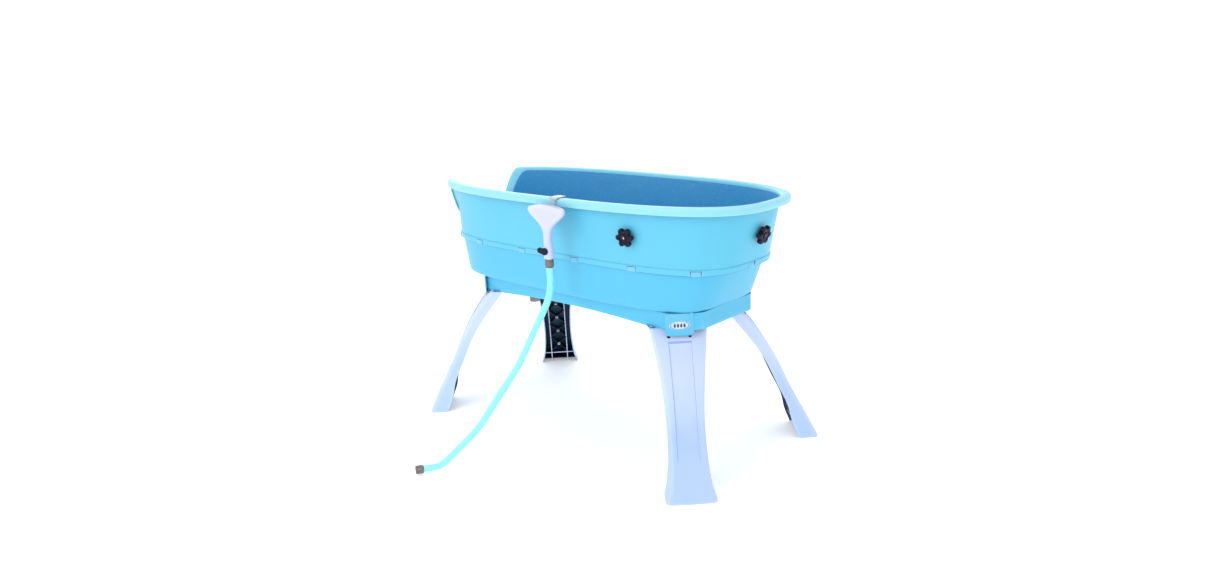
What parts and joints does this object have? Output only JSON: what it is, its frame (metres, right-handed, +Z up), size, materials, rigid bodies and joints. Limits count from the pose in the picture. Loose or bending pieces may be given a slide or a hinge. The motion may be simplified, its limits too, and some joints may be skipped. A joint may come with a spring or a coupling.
{
  "type": "pet bathtub",
  "caption": "Raised oval pet bath with a stepped two-part shell, low walk-in notch, splayed channel legs, clip-on rinse wand with hose, floor drain and knob-held restraint tethers.",
  "frame": {"origin": "on the floor, under the middle of the rolled rim's length and width", "axes": "+X towards the end with the single restraint knob, away from the walk-in notch; -Y towards the side the rinse wand hangs on; +Z up"},
  "size_m": [1.2579, 1.041, 0.7837],
  "materials": {
    "upper_shell": "satin moulded polyethylene",
    "lower_shell": "satin moulded polyethylene",
    "mat": "matte, ribbed",
    "badge": "plain domed oval, no lettering",
    "leg": "satin moulded plastic",
    "black_screw": "black oxide",
    "drain": "grey moulded plastic",
    "seal": "soft rubber",
    "strainer": "stainless, pierced",
    "stopper": "soft rubber",
    "knob": "black, lightly textured",
    "insert": "machined",
    "stainless": "stainless",
    "webbing": "black woven webbing",
    "hanger": "bent stainless strip",
    "wand_shell": "off-white moulded plastic",
    "spray_plate": "pierced plate",
    "cartridge": "white nylon",
    "brass": "machined",
    "lever": "black",
    "coupling": "dark nickel plate",
    "hose": "soft translucent vinyl"
  },
  "bodies": {
    "tub": {"upper_tub": "upper_shell", "lower_tub": "lower_shell", "floor_mat": "mat", "badge": "badge", "leg_front_right": "leg", "leg_back_right": "leg", "leg_front_left": "leg", "leg_back_left": "leg", "leg_screws": "black_screw", "drain_body": "drain", "drain_gasket": "seal", "drain_nut": "drain", "drain_strainer": "strainer", "eye_bolts": "stainless", "bolt_washers": "stainless", "bolt_seals": "seal", "tether_end": "webbing", "tether_near": "webbing", "tether_far": "webbing", "snap_hooks": "stainless", "gate_pins": "stainless", "wand_hanger": "hanger", "hose": "hose", "supply_barb": "brass", "supply_washer": "seal"},
    "drain_plug": {"drain_plug": "stopper"},
    "knob_end": {"knob_end": "knob", "knob_insert_end": "insert"},
    "knob_near": {"knob_near": "knob", "knob_insert_near": "insert"},
    "knob_far": {"knob_far": "knob", "knob_insert_far": "insert"},
    "gate_end": {"snap_gate_end": "stainless"},
    "gate_near": {"snap_gate_near": "stainless"},
    "gate_far": {"snap_gate_far": "stainless"},
    "wand": {"wand_front": "wand_shell", "wand_back": "wand_shell", "spray_plate": "spray_plate", "valve_cartridge": "cartridge", "wand_tail": "wand_shell", "wand_barb": "brass", "wand_washer": "seal"},
    "valve": {"valve_ball": "brass", "valve_lever": "lever", "lever_screw": "stainless"},
    "wand_nut": {"wand_nut": "coupling"},
    "supply_nut": {"supply_nut": "coupling"}
  },
  "joints": [
    {"name": "knob_end_turn", "type": "hinge", "parent": "tub", "child": "knob_end", "pos_m": [0.5802, 0, 0.687], "axis": [0.9581, 0.0004, -0.2864], "continuous": true},
    {"name": "knob_near_turn", "type": "hinge", "parent": "tub", "child": "knob_near", "pos_m": [0.29759, -0.22129, 0.687], "axis": [0.1134, -0.9904, -0.079], "continuous": true},
    {"name": "knob_far_turn", "type": "hinge", "parent": "tub", "child": "knob_far", "pos_m": [0.29759, 0.22129, 0.687], "axis": [0.1042, 0.9915, -0.0778], "continuous": true},
    {"name": "gate_end_swing", "type": "hinge", "parent": "tub", "child": "gate_end", "pos_m": [0.5395, 0.00748, 0.61723], "axis": [0.9581, 0.0004, -0.2864], "range_deg": [0, 25]},
    {"name": "gate_near_swing", "type": "hinge", "parent": "tub", "child": "gate_near", "pos_m": [0.30218, -0.19546, 0.61025], "axis": [0.1134, -0.9904, -0.079], "range_deg": [0, 25]},
    {"name": "gate_far_swing", "type": "hinge", "parent": "tub", "child": "gate_far", "pos_m": [0.28751, 0.19716, 0.61022], "axis": [0.1042, 0.9915, -0.0778], "range_deg": [0, 25]},
    {"name": "plug_lift", "type": "slide", "parent": "tub", "child": "drain_plug", "axis": [0, 0, 1], "range_m": [0, 0.06]},
    {"name": "wand_lift", "type": "slide", "parent": "tub", "child": "wand", "axis": [0, 0, 1], "range_m": [0, 0.12]},
    {"name": "valve_turn", "type": "hinge", "parent": "wand", "child": "valve", "pos_m": [0.06, -0.3, 0.633], "axis": [0, -1, 0], "range_deg": [0, 90]},
    {"name": "wand_nut_turn", "type": "hinge", "parent": "wand", "child": "wand_nut", "pos_m": [0.06, -0.3, 0.583], "axis": [0, 0, 1], "continuous": true},
    {"name": "supply_nut_turn", "type": "hinge", "parent": "tub", "child": "supply_nut", "pos_m": [-0.156, -0.653, 0.019], "axis": [-0.5219, -0.853, 0], "continuous": true}
  ]
}
